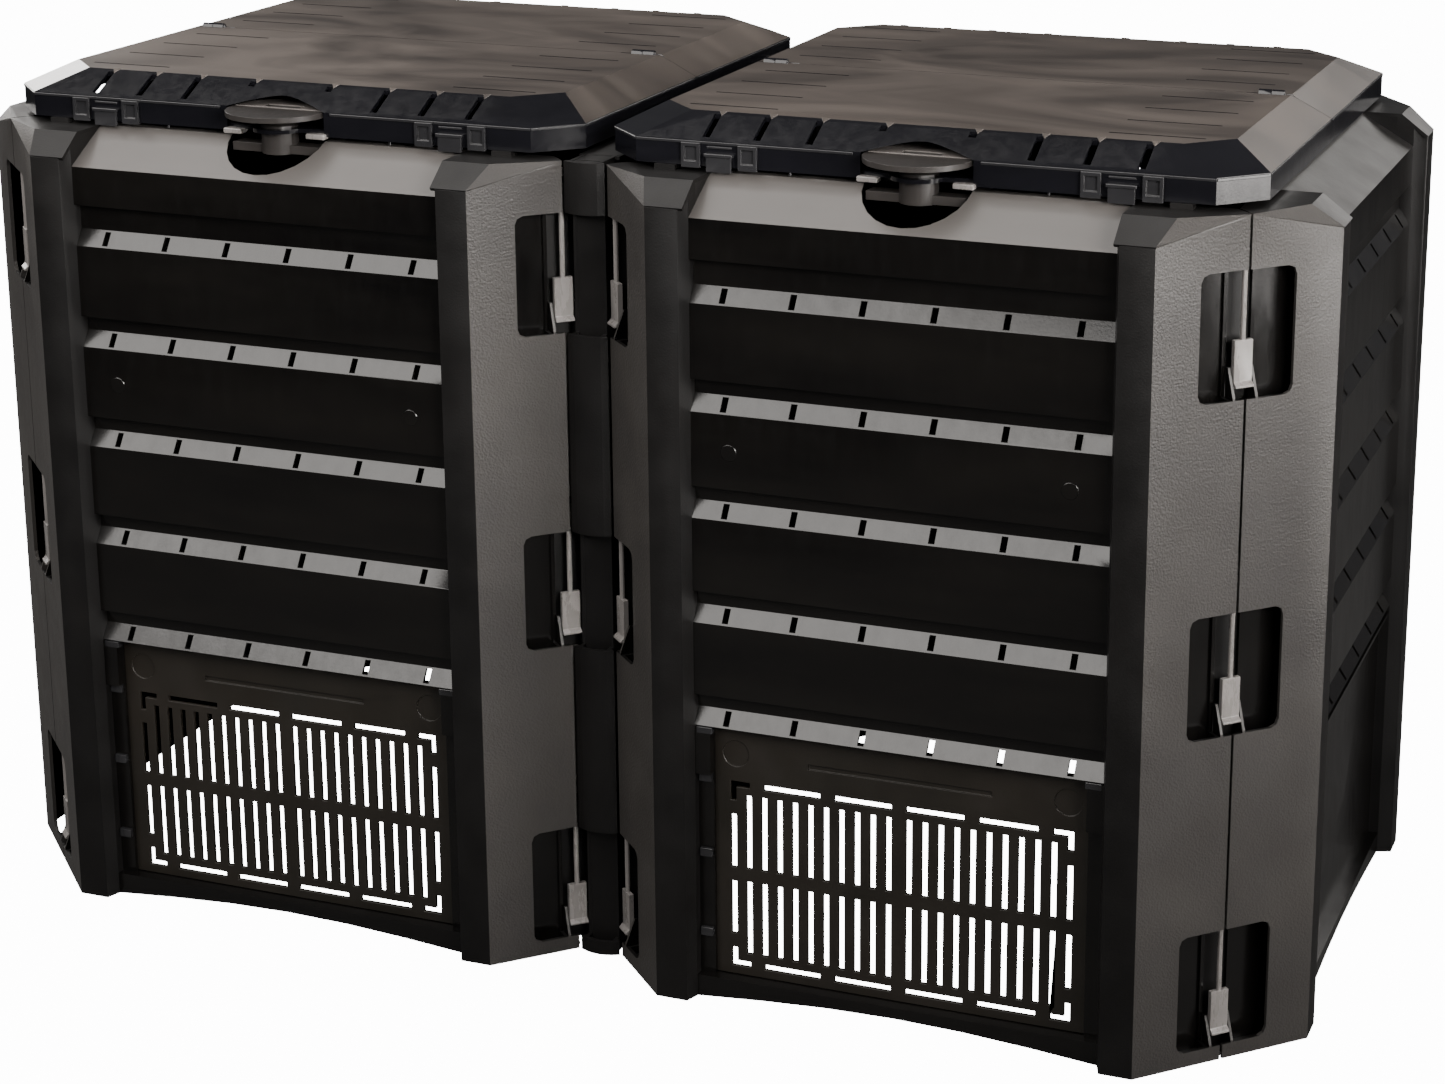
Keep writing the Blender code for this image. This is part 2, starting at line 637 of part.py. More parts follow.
def lower_plate():
    """The closed foot of a side or back panel, with its low pyramid."""
    plate = box((-FIELD_HALF - WALL / 2, -BAND_FACE, HATCH_LOW - 0.003),
                (FIELD_HALF + WALL / 2, -BAND_FACE + WALL, HATCH_HIGH + 0.014))
    lip = box((-FIELD_HALF - WALL / 2, -SLAT_FACE + 0.0005, HATCH_HIGH),
              (FIELD_HALF + WALL / 2, -BAND_FACE + WALL / 2, HATCH_HIGH + WALL))
    middle = (HATCH_LOW + HATCH_HIGH) / 2
    place = Matrix.Translation((0.0, -BAND_FACE, middle)) @ Matrix.Rotation(math.radians(90), 4, "X")
    place = place @ Matrix.Scale(PYRAMID_STRETCH, 4, (1, 0, 0)) @ Matrix.Rotation(math.radians(45), 4, "Z")
    shape = bmesh.new()
    bmesh.ops.create_cone(shape, cap_ends=True, segments=4, radius1=PYRAMID_FOOT, radius2=PYRAMID_TIP,
                          depth=PYRAMID_DEPTH, matrix=place)
    pyramid = bpy.data.meshes.new("pyramid")
    shape.to_mesh(pyramid)
    shape.free()
    return add(add(plate, lip), outward(pyramid))


def wall_panel(eye_rise, hatch, knob):
    right = post(eye_rise)
    field = shell(swept(louvre_line()[::-1], -FIELD_HALF - WALL / 2, FIELD_HALF + WALL / 2), WALL)
    field = cut(field, vents())
    body = add(right, field, mirrored(right), bottom_rail())
    if hatch:
        body = add(body, *hatch_guides())
    else:
        body = add(body, lower_plate())
    if knob:
        body = add(body, keeper())
        body = cut(body, knob_pocket())
        body = add(body, lid_pads())
    return body


# --- Divider between the modules ------------------------------------------------------------
def divider_corner(mesh):
    """A fitting made for a panel's right corner, moved to the seam right of the divider."""
    turn = Matrix.Translation((MODULE_PITCH / 2, 0.0, 0.0)) @ Matrix.Rotation(math.radians(-90), 4, "Z")
    mesh.transform(turn)
    return mesh


def divider_post():
    """The front end post: two cells, a bowed outer skin, windows and pin eyes."""
    half = DIVIDER_POST_HALF
    skin = DIVIDER_SKIN_HALF
    edge = DIVIDER_SKIN_EDGE
    radius = (skin ** 2 + DIVIDER_BULGE ** 2) / (2 * DIVIDER_BULGE)
    spread = math.degrees(math.asin(skin / radius))
    bow = arc((0.0, radius - edge - DIVIDER_BULGE), radius, 270 - spread, 270 + spread, 6)
    step = DIVIDER_SKIN_HALF - DIVIDER_POST_HALF
    outer = [(half, -edge + step), (half, -DIVIDER_POST_BACK), (-half, -DIVIDER_POST_BACK),
             (-half, -edge + step)] + bow
    inner = half - WALL
    crown = edge + DIVIDER_BULGE - WALL
    first = ((-inner, -DIVIDER_WEB), (-inner, -edge), (0.0, -crown), (inner, -edge), (inner, -DIVIDER_WEB))
    second = ((-inner, -DIVIDER_WEB + WALL), (inner, -DIVIDER_WEB + WALL),
              (inner, -DIVIDER_POST_BACK - WALL), (-inner, -DIVIDER_POST_BACK - WALL))
    tube = prism((outer, first, second), 0.0, PLATEAU_TOP)
    plug = box((-inner - WALL / 2, -edge - WALL / 2, PLATEAU_TOP - WALL),
               (inner + WALL / 2, -DIVIDER_POST_BACK - WALL / 2, PLATEAU_TOP - CAP_OVERHANG))
    body = add(tube, plug)
    openings = [box((-2 * skin, -HALF_MODULE, sill), (2 * skin, -DIVIDER_WEB - FIT_GAP, sill + WINDOW_HEIGHT))
                for sill in WINDOW_SILLS]
    body = cut(body, joined(openings))
    fittings = [eye(sill + WINDOW_HEIGHT + SECOND_EYE, DIVIDER_EYE_LENGTH) for sill in WINDOW_SILLS]
    fittings += [cheek(sill) for sill in WINDOW_SILLS]
    right = divider_corner(joined(fittings))
    return add(body, right, mirrored(right))


def divider_wall():
    """The slotted wall between the two chambers, with a post at each end."""
    post_mesh = divider_post()
    reach = DIVIDER_POST_BACK + WALL / 2
    steps = 6
    arch = [(-reach + 2 * reach * i / steps, ARCH_RISE * math.sin(math.pi * i / steps))
            for i in range(steps + 1)]
    outline = arch + [(reach, PLATEAU_TOP - WALL / 2), (-reach, PLATEAU_TOP - WALL / 2)]
    upright = Matrix(((0, 0, 1, 0), (1, 0, 0, 0), (0, 1, 0, 0), (0, 0, 0, 1)))
    plate = prism((outline,), -WALL / 2, WALL / 2, upright)
    slots = []
    for i in range(LEDGE_COUNT):
        middle = TOP_LEDGE - i * LEDGE_PITCH
        for j in range(DIVIDER_SLOT_COLUMNS):
            y = (j - (DIVIDER_SLOT_COLUMNS - 1) / 2) * DIVIDER_SLOT_PITCH
            slots.append(box((-WALL, y - DIVIDER_SLOT_LENGTH / 2, middle - VENT_WIDTH / 2),
                             (WALL, y + DIVIDER_SLOT_LENGTH / 2, middle + VENT_WIDTH / 2)))
    plate = cut(plate, joined(slots))
    over = DIVIDER_POST_BACK + 2 * WALL
    rail = box((-DIVIDER_RAIL_HALF, -over, PLATEAU_TOP - WALL + FIT_GAP),
               (DIVIDER_RAIL_HALF, over, PLATEAU_TOP - EYE_SETBACK))
    return add(plate, rail, post_mesh, mirrored(post_mesh, (0.0, 1.0, 0.0)))


# --- Connector pins -------------------------------------------------------------------------
def connector_pin():
    """A rod with a flat pull handle, on its own axis, its window's sill at height zero."""
    handle_top = PIN_HANDLE_RISE + HANDLE_HEIGHT
    rod = cylinder(PIN_RADIUS, handle_top - PIN_RADIUS, WINDOW_HEIGHT + PIN_REACH, steps=8)
    half = HANDLE_WIDTH / 2
    thick = HANDLE_THICKNESS / 2
    toe = -PIN_DEPTH + WALL / 2
    outline = ((thick, PIN_HANDLE_RISE), (thick, handle_top), (-thick, handle_top),
               (-thick, PIN_HANDLE_RISE + HANDLE_THICKNESS), (toe, PIN_HANDLE_RISE + WALL / 2),
               (toe, PIN_HANDLE_RISE))
    turn = Matrix(((0, 0, 1, 0), (1, 0, 0, 0), (0, 1, 0, 0), (0, 0, 0, 1)))
    handle = prism((outline,), -half, half, turn)
    return add(rod, handle)


# --- Hatches --------------------------------------------------------------------------------
def upright_slot(x, low, high):
    half = SLOT_WIDTH / 2
    return box((x - half, -HATCH_FRONT - WALL, low), (x + half, -HATCH_BACK + WALL, high))


def level_slot(low, high, z):
    half = SLOT_WIDTH / 2
    return box((low, -HATCH_FRONT - WALL, z - half), (high, -HATCH_BACK + WALL, z + half))


def corner_slot(side, end):
    """An L-shaped slot at one corner of the ring around the grille."""
    x = side * (GRILLE_MULLION / 2 + GRILLE_COLUMNS * GRILLE_PITCH)
    z = FRAME_SLOT_HIGH if end > 0 else FRAME_SLOT_LOW
    half = SLOT_WIDTH / 2
    arm = FRAME_CORNER_ARM
    outline = [(side * half, end * half), (side * -arm, end * half), (side * -arm, end * -half),
               (side * -half, end * -half), (side * -half, end * -arm), (side * half, end * -arm)]
    outline = [(x + dx, z + dz) for dx, dz in outline]
    upright = Matrix(((1, 0, 0, 0), (0, 0, -1, 0), (0, 1, 0, 0), (0, 0, 0, 1)))
    return prism((outline,), HATCH_BACK - WALL, HATCH_FRONT + WALL, upright)


def hatch():
    """The lift-up door: a plate with a slotted grille, a grip groove and two round marks."""
    plate = box((-HATCH_HALF_WIDTH, -HATCH_FRONT, HATCH_LOW), (HATCH_HALF_WIDTH, -HATCH_BACK, HATCH_TOP))
    slots = []
    for side in (-1, 1):
        for i in range(GRILLE_COLUMNS):
            x = side * (GRILLE_MULLION / 2 + i * GRILLE_PITCH)
            slots += [upright_slot(x, low, high) for low, high in SLOT_ROWS]
        ring = side * (GRILLE_MULLION / 2 + GRILLE_COLUMNS * GRILLE_PITCH)
        first = FRAME_SLOT_LOW + FRAME_CORNER_ARM + FRAME_BRIDGE
        last = FRAME_SLOT_HIGH - FRAME_CORNER_ARM - FRAME_BRIDGE
        middle = (first + last) / 2
        slots += [upright_slot(ring, first, middle - FRAME_BRIDGE / 2),
                  upright_slot(ring, middle + FRAME_BRIDGE / 2, last)]
        slots += [corner_slot(side, end) for end in (-1, 1)]
    reach = GRILLE_MULLION / 2 + GRILLE_COLUMNS * GRILLE_PITCH - FRAME_CORNER_ARM - FRAME_BRIDGE
    length = (2 * reach - 3 * FRAME_BRIDGE) / 4
    for z in (FRAME_SLOT_LOW, FRAME_SLOT_HIGH):
        for i in range(4):
            start = -reach + i * (length + FRAME_BRIDGE)
            slots.append(level_slot(start, start + length, z))
    plate = cut(plate, joined(slots))
    groove = box((-GRIP_LENGTH / 2, -HATCH_FRONT - WALL, GRIP_LEVEL - GRIP_HEIGHT / 2),
                 (GRIP_LENGTH / 2, -HATCH_FRONT + GRIP_DEPTH, GRIP_LEVEL + GRIP_HEIGHT / 2))
    upright = Matrix.Rotation(math.radians(90), 4, "X")
    marks = []
    for side in (-1, 1):
        mark = cylinder(BOSS_RADIUS, HATCH_FRONT - BOSS_DEPTH, HATCH_FRONT + WALL,
                        (side * BOSS_OFFSET, BOSS_LEVEL), 16)
        mark.transform(upright)
        marks.append(mark)
    return cut(plate, joined([groove] + marks))


# --- Lids -----------------------------------------------------------------------------------
def flap_points():
    """Corners of the half octagon: rim foot, rim top and bevel top, from left to right."""
    seam = -LID_SEAM_GAP
    plan = ((-1, 0, seam), (-1, 0, -LID_HALF_DEPTH + LID_CORNER), (-1, LID_CORNER, -LID_HALF_DEPTH),
            (1, LID_CORNER, -LID_HALF_DEPTH), (1, 0, -LID_HALF_DEPTH + LID_CORNER), (1, 0, seam))
    foot = [(side * (LID_HALF_WIDTH - back), y, LID_RIM_LOW) for side, back, y in plan]
    rim = [(x, y, LID_RIM_HIGH) for x, y, _ in foot]
    top = [(side * (LID_HALF_WIDTH - back - LID_BEVEL), y if y == seam else y + LID_BEVEL, LID_TOP)
           for side, back, y in plan]
    return foot + rim + top


def flap_shell():
    faces = [(i, i + 1, i + 7, i + 6) for i in range(5)]
    faces += [(i + 6, i + 7, i + 13, i + 12) for i in range(5)]
    faces.append((12, 13, 14, 15, 16, 17))
    return shell(sheet(flap_points(), faces), LID_WALL)


def flap_solid():
    """The flap without its hollow, to trim what is added inside."""
    faces = [(i, i + 1, i + 7, i + 6) for i in range(5)]
    faces += [(i + 6, i + 7, i + 13, i + 12) for i in range(5)]
    faces += [(12, 13, 14, 15, 16, 17), (5, 4, 3, 2, 1, 0), (0, 6, 12, 17, 11, 5)]
    return outward(sheet(flap_points(), faces))


def knob_opening():
    """The cutter that opens the rim and the foot of the bevel for the knob."""
    centre = (0.0, -KNOB_AXIS)
    low = cylinder(KNOB_OPENING_RADIUS, LID_RIM_LOW - WALL, LID_RIM_HIGH, centre)
    high = cylinder(KNOB_OPENING_RADIUS, LID_RIM_HIGH, KNOB_OPENING_TOP, centre,
                    top_radius=KNOB_OPENING_CROWN)
    high.transform(Matrix.Translation((0.0, 0.0, -FIT_GAP / 10)))
    return add(low, high)


def knob_bracket():
    """The shelf that the knob turns in, hung from two ribs under the lid."""
    rib = KNOB_OPENING_RADIUS + CAP_OVERHANG
    front = -LID_HALF_DEPTH + WALL / 2
    back = -KNOB_AXIS + KNOB_SHELF_DEPTH
    ribs = [box((min(side * rib, side * (rib + WALL)), front, KNOB_SHELF_LOW),
                (max(side * rib, side * (rib + WALL)), back, LID_TOP - LID_WALL / 2)) for side in (-1, 1)]
    outline = [(rib + WALL / 2, front + WALL), (rib + WALL / 2, back - WALL / 2)]
    outline += [(-rib - WALL / 2, back - WALL / 2), (-rib - WALL / 2, front + WALL)]
    outline += arc((0.0, -KNOB_AXIS), KNOB_SHELF_RADIUS, 200, 340, 8)
    bore = arc((0.0, -KNOB_AXIS), KNOB_STEM_RADIUS + CAP_OVERHANG, 0, 340, 17)
    shelf = prism((outline, bore), KNOB_SHELF_LOW + FIT_GAP, KNOB_SHELF_HIGH)
    return boolean(joined(ribs), flap_solid(), "INTERSECT"), shelf


def lid_slots():
    """Cutters for the rain slots in the top and the slots in the bevel."""
    found = []
    for side in (-1, 1):
        x_low, x_high = sorted((side * LID_SLOT_END, side * (LID_SLOT_END - LID_SLOT_LENGTH)))
        for i in range(LID_OPEN_SLOTS):
            y = -LID_SLOT_FIRST - i * LID_SLOT_PITCH
            found.append(box((x_low, y - LID_SLOT_WIDTH / 2, LID_TOP - 2 * LID_WALL),
                             (x_high, y + LID_SLOT_WIDTH / 2, LID_TOP + LID_WALL)))
        foot = -LID_HALF_DEPTH + LID_WALL + CAP_OVERHANG
        head = -LID_HALF_DEPTH + LID_BEVEL - WALL
        for place in BEVEL_SLOT_PLACES:
            x = side * place
            found.append(box((x - BEVEL_SLOT_WIDTH / 2, foot, LID_RIM_HIGH - LID_WALL),
                             (x + BEVEL_SLOT_WIDTH / 2, head, LID_TOP + LID_WALL)))
        x = side * SHORT_SLOT_PLACE
        found.append(box((x - BEVEL_SLOT_WIDTH / 2, head - 2 * WALL, LID_RIM_HIGH + LID_WALL),
                         (x + BEVEL_SLOT_WIDTH / 2, head, LID_TOP + LID_WALL)))
    return joined(found)


def along_hinge(radius, low, high, steps):
    """A rod on the hinge line, which runs along X at the height of the lid's top."""
    rod = cylinder(radius, low, high, steps=steps)
    rod.transform(Matrix.Translation((0.0, 0.0, LID_TOP)) @ Matrix.Rotation(math.radians(90), 4, "Y"))
    return rod


def lid_flap():
    """The front half of a lid, with its half of each hinge."""
    body = cut(flap_shell(), knob_opening())
    ribs, shelf = knob_bracket()
    body = add(body, ribs, shelf)
    body = cut(body, lid_slots())
    clear = HINGE_BARREL_RADIUS + 2 * HINGE_PLAY
    barrels = []
    notches = []
    bores = []
    for outer in (-HINGE_OFFSET, HINGE_OFFSET):
        barrels.append(along_hinge(HINGE_BARREL_RADIUS, outer - HINGE_KNUCKLE, outer - HINGE_PLAY, 8))
        notches.append(along_hinge(clear, outer - HINGE_PLAY, outer + HINGE_KNUCKLE + HINGE_PLAY, 8))
        bores.append(along_hinge(HINGE_PIN_RADIUS + HINGE_PLAY, outer - 2 * HINGE_KNUCKLE,
                                 outer + HINGE_KNUCKLE, 8))
    body = cut(body, joined(notches))
    body = add(body, joined(barrels))
    return cut(body, joined(bores))


# --- Knob -----------------------------------------------------------------------------------
def turn_knob():
    """The turn knob on its own axis: disc with a grip slot, conical hub, stem and cam bar."""
    disc = cylinder(KNOB_RADIUS, KNOB_DISC_LOW, KNOB_DISC_HIGH, steps=24)
    hub = cylinder(KNOB_STEM_RADIUS, KNOB_HUB_LOW, KNOB_DISC_LOW + CAP_OVERHANG, steps=ROUND_STEPS,
                   top_radius=KNOB_HUB_RADIUS)
    stem_radius = KNOB_STEM_RADIUS - CAP_OVERHANG
    stem = cylinder(stem_radius, KNOB_CAM_LOW - CAP_OVERHANG, KNOB_HUB_LOW + CAP_OVERHANG)
    cam = box((-KNOB_CAM_HALF, -KNOB_CAM_WIDTH / 2, KNOB_CAM_LOW),
              (KNOB_CAM_HALF, KNOB_CAM_WIDTH / 2, KNOB_CAM_HIGH))
    grip = box((-KNOB_GRIP_LENGTH / 2, KNOB_GRIP_WIDTH / 2, KNOB_DISC_HIGH - KNOB_GRIP_DEPTH),
               (KNOB_GRIP_LENGTH / 2, 3 * KNOB_GRIP_WIDTH / 2, KNOB_DISC_HIGH + KNOB_GRIP_DEPTH))
    return cut(add(disc, hub, stem, cam), grip)


# --- Build ----------------------------------------------------------------------------------
def quarter_turn(count, x=0.0):
    """A placing: moved along X, after a number of quarter turns about the vertical."""
    return Matrix.Translation((x, 0.0, 0.0)) @ Matrix.Rotation(math.radians(90 * count), 4, "Z")


clear_scene()
composter = make_collection("composter")
workbench = make_collection("workbench", hidden=True)
panel_plastic = make_material("panel_plastic", COLOURS["panel"], 0.45)
lid_plastic = make_material("lid_plastic", COLOURS["lid"], 0.40)
fitting_plastic = make_material("fitting_plastic", COLOURS["fitting"], 0.35)
hatch_plastic = make_material("hatch_plastic", COLOURS["hatch"], 0.45)
pin_steel = make_material("pin_steel", COLOURS["steel"], 0.35)

module_x = MODULE_PITCH / 2
front_wall = wall_panel(FIRST_EYE, hatch=True, knob=True)
back_wall = wall_panel(FIRST_EYE, hatch=False, knob=True)
side_wall = wall_panel(SECOND_EYE, hatch=False, knob=False)
hatch_mesh = hatch()
flap_mesh = lid_flap()
knob_mesh = turn_knob()
pin_mesh = connector_pin()

finish("divider_wall", divider_wall(), panel_plastic)
finish("side_wall_left", side_wall, panel_plastic, quarter_turn(-1, -module_x))
finish("side_wall_right", side_wall, panel_plastic, quarter_turn(1, module_x))
for side, x in (("left", -module_x), ("right", module_x)):
    finish("front_wall_" + side, front_wall, panel_plastic, quarter_turn(0, x))
    finish("back_wall_" + side, back_wall, panel_plastic, quarter_turn(2, x))
    finish("hatch_" + side, hatch_mesh, hatch_plastic, quarter_turn(0, x))
    for end, turns in (("front", 0), ("back", 2)):
        finish(f"lid_{end}_{side}", flap_mesh, lid_plastic, quarter_turn(turns, x))
        seat = Matrix.Translation((0.0, -KNOB_AXIS, 0.0))
        finish(f"knob_{end}_{side}", knob_mesh, fitting_plastic, quarter_turn(turns, x) @ seat)
    for hinge, place in (("inner", HINGE_OFFSET), ("outer", -HINGE_OFFSET)):
        rod = along_hinge(HINGE_PIN_RADIUS, place - HINGE_KNUCKLE, place + HINGE_KNUCKLE, 8)
        finish(f"hinge_pin_{side}_{hinge}", rod, pin_steel, quarter_turn(0 if side == "left" else 2, x))
    for corner, turns in (("front_right", 0), ("back_right", 1), ("back_left", 2), ("front_left", 3)):
        for level, sill in zip(("low", "middle", "high"), WINDOW_SILLS):
            pin_x, pin_y = pin_point()
            spot = Matrix.Translation((pin_x, pin_y, sill)) @ Matrix.Rotation(math.radians(45), 4, "Z")
            finish(f"pin_{side}_{corner}_{level}", pin_mesh, fitting_plastic, quarter_turn(turns, x) @ spot)
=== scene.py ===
"""Looks of the two-module garden composter: rounded mouldings, grained and glossy plastics, the
small fittings on the lids, hatches and windows, and a pale studio."""
import json
import math

import bmesh
import bpy
from mathutils import Matrix, Vector


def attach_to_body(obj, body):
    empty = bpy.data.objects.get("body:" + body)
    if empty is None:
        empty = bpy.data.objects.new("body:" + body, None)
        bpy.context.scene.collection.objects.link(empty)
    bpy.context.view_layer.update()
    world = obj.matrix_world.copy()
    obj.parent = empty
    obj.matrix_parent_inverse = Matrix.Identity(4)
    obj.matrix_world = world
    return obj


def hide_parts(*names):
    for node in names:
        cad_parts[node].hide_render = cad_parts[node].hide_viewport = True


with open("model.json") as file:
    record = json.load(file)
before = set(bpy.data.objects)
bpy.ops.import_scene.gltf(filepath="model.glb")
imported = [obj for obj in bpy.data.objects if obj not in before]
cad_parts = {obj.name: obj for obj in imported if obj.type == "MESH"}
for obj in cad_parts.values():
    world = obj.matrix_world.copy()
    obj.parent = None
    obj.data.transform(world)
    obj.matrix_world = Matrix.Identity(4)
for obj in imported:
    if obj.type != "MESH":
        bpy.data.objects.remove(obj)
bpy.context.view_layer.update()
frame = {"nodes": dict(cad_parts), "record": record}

# --- Sizes of the composter that the fittings follow -----------------------------------------
MODULES = {"left": -0.3155, "right": 0.3155}
FIELD = 0.193            # half width of the louvred field
LID_TOP = 0.8245         # the lid's bevel ends here
RIM_TOP = 0.805          # the rim ends and the bevel starts
RIM_FACE = 0.296         # front of the rim, out from the middle of a module
RIM_SIDE = 0.301         # side of the rim, across from the middle
LID_CORNER = 0.0375      # cut off each corner of the lid, along both sides
BEVEL_RUN = 0.038        # the lid's bevel, measured level
KNOB_LINE = 0.288        # axis of the knob, out from the middle
KNOB_GAP = 0.058         # half width of the knob's opening in the rim
CLIP_BACK = 0.2962       # backs of the clip eyes, just clear of the rim
WING_SUM = 0.5885        # a point on a wing: distance across plus distance out from the middle
ROOF_FOOT = 0.744        # the sloping roof of a panel starts above this
WEB_TOP = 0.754          # top of the webs behind the corner seams
SEAM_HALF = 0.050        # half width of a corner's foot web
STRIP_SPANS = ((0.129, 0.310), (0.427, 0.614), (0.731, 0.755))   # between the windows
SLOT_LINES = (0.041, 0.101, 0.150, 0.198)                        # slots in half a lid bevel
TAB_HEIGHTS = (0.060, 0.140, 0.215)
ENDS = {"front": 0.0, "back": math.pi}                           # turn of a fitting

SENSOR_WIDTH = 36.0      # millimetres
FOCAL_LENGTH = 74.71557  # millimetres


# --- Studio ----------------------------------------------------------------------------------
def add_camera():
    camera = bpy.data.cameras.new("camera")
    camera.sensor_width = SENSOR_WIDTH
    camera.lens = FOCAL_LENGTH
    camera.shift_x = -0.073
    camera.shift_y = -0.14
    camera.clip_end = 50.0
    holder = bpy.data.objects.new("camera", camera)
    holder.location = (1.1263, -2.6971, 1.3212)
    holder.rotation_euler = (math.radians(90 - 15.02), 0.0, math.radians(20.38))
    bpy.context.scene.collection.objects.link(holder)
    bpy.context.scene.camera = holder


def add_softbox(name, place, aim, width, height, power, spread=180.0, tint=(1.0, 1.0, 1.0)):
    light = bpy.data.lights.new(name, "AREA")
    light.shape = "RECTANGLE"
    light.size = width
    light.size_y = height
    light.energy = power
    light.spread = math.radians(spread)
    light.color = tint
    holder = bpy.data.objects.new(name, light)
    holder.location = place
    holder.visible_camera = False
    direction = Vector(aim) - Vector(place)
    holder.rotation_euler = direction.to_track_quat("-Z", "Y").to_euler()
    bpy.context.scene.collection.objects.link(holder)


def add_studio():
    world = bpy.context.scene.world or bpy.data.worlds.new("studio")
    bpy.context.scene.world = world
    world.use_nodes = True
    sky = world.node_tree.nodes["Background"]
    sky.inputs["Color"].default_value = (0.95, 0.95, 1.0, 1.0)
    sky.inputs["Strength"].default_value = 0.10
    warm = (1.0, 0.965, 0.93)
    add_softbox("front_right", (2.2, -2.1, 1.7), (0.1, -0.3, 1.0), 1.3, 1.1, 14, 45, warm)
    add_softbox("right_card", (2.05, -0.65, 0.98), (0.45, -0.25, 0.92), 0.9, 1.1, 38, 180, warm)
    add_softbox("ledges", (-0.8, -1.65, 1.90), (-0.1, -0.35, 0.45), 2.6, 1.1, 62, 180, warm)
    add_softbox("back_left", (-2.6, 1.3, 1.5), (-0.2, 0.1, 0.5), 1.4, 1.2, 40, 180, warm)
    add_softbox("back_right", (1.7, 2.6, 2.2), (0.2, 0.2, 0.5), 1.6, 1.2, 45, 180, warm)
    add_softbox("top", (-0.7, -0.30, 2.6), (-0.7, -0.30, 0.8), 2.6, 1.3, 34, 180, warm)
    clear_choice()
    bpy.ops.mesh.primitive_plane_add(size=40.0, location=(0.0, 0.0, 0.0))
    floor = bpy.context.active_object
    floor.name = "floor"
    floor.data.materials.append(floor_paper())


# --- Materials -------------------------------------------------------------------------------
def new_material(name):
    material = bpy.data.materials.new(name)
    material.use_nodes = True
    tree = material.node_tree
    return material, tree, tree.nodes["Principled BSDF"]


def place_noise(tree, scale, stretch=(1.0, 1.0, 1.0), detail=4.0, roughness=0.5):
    """Noise in the object's own coordinates, metres times the scale."""
    where = tree.nodes.new("ShaderNodeTexCoord")
    mapping = tree.nodes.new("ShaderNodeMapping")
    mapping.inputs["Scale"].default_value = stretch
    tree.links.new(where.outputs["Object"], mapping.inputs["Vector"])
    noise = tree.nodes.new("ShaderNodeTexNoise")
    noise.inputs["Scale"].default_value = scale
    noise.inputs["Detail"].default_value = detail
    noise.inputs["Roughness"].default_value = roughness
    tree.links.new(mapping.outputs["Vector"], noise.inputs["Vector"])
    return noise.outputs["Fac"]


def ramp(tree, source, low, high, dark, light):
    """Two colours blended between two values of a pattern."""
    node = tree.nodes.new("ShaderNodeValToRGB")
    node.color_ramp.elements[0].position = low
    node.color_ramp.elements[0].color = (*dark, 1.0)
    node.color_ramp.elements[1].position = high
    node.color_ramp.elements[1].color = (*light, 1.0)
    tree.links.new(source, node.inputs["Fac"])
    return node.outputs["Color"]


def map_range(tree, source, low, high, new_low, new_high):
    node = tree.nodes.new("ShaderNodeMapRange")
    node.inputs["From Min"].default_value = low
    node.inputs["From Max"].default_value = high
    node.inputs["To Min"].default_value = new_low
    node.inputs["To Max"].default_value = new_high
    tree.links.new(source, node.inputs["Value"])
    return node.outputs["Result"]


def add_bump(tree, shader, source, distance, strength, under=None):
    bump = tree.nodes.new("ShaderNodeBump")
    bump.inputs["Distance"].default_value = distance
    bump.inputs["Strength"].default_value = strength
    tree.links.new(source, bump.inputs["Height"])
    if under is not None:
        tree.links.new(under, bump.inputs["Normal"])
    tree.links.new(bump.outputs["Normal"], shader.inputs["Normal"])
    return bump.outputs["Normal"]


def grained_plastic(name, dark, light, grain, grain_depth, smooth, rough, specular=0.5):
    """Moulded plastic with a leather-like grain, cloudy colour and uneven gloss."""
    material, tree, shader = new_material(name)
    shader.inputs["Specular IOR Level"].default_value = specular
    cloud = place_noise(tree, 7.0, detail=5.0, roughness=0.6)
    tree.links.new(ramp(tree, cloud, 0.30, 0.72, dark, light), shader.inputs["Base Color"])
    patch = place_noise(tree, 23.0, detail=3.0)
    tree.links.new(map_range(tree, patch, 0.3, 0.7, smooth, rough), shader.inputs["Roughness"])
    ripple = place_noise(tree, 60.0, detail=2.0)
    waves = add_bump(tree, shader, ripple, 0.0006, 0.25)
    where = tree.nodes.new("ShaderNodeTexCoord")
    cells = tree.nodes.new("ShaderNodeTexVoronoi")
    cells.feature = "SMOOTH_F1"
    cells.inputs["Scale"].default_value = grain
    tree.links.new(where.outputs["Object"], cells.inputs["Vector"])
    add_bump(tree, shader, cells.outputs["Distance"], grain_depth, 0.5, waves)
    return material


def moulded_gloss(name, dark, light, smooth, rough, specular=0.5, sinking=0.35):
    """Smooth moulded plastic with flow lines along its length and a fine orange peel."""
    material, tree, shader = new_material(name)
    shader.inputs["Specular IOR Level"].default_value = specular
    flow = place_noise(tree, 6.0, (0.6, 0.6, 3.0), detail=6.0, roughness=0.62)
    tree.links.new(ramp(tree, flow, 0.32, 0.70, dark, light), shader.inputs["Base Color"])
    scuff = place_noise(tree, 90.0, (1.0, 1.0, 0.25), detail=8.0, roughness=0.7)
    tree.links.new(map_range(tree, scuff, 0.35, 0.75, smooth, rough), shader.inputs["Roughness"])
    sink = place_noise(tree, 11.0, detail=2.0)
    waves = add_bump(tree, shader, sink, 0.0012, sinking)
    peel = place_noise(tree, 420.0, detail=2.0)
    add_bump(tree, shader, peel, 0.00012, 0.3, waves)
    return material


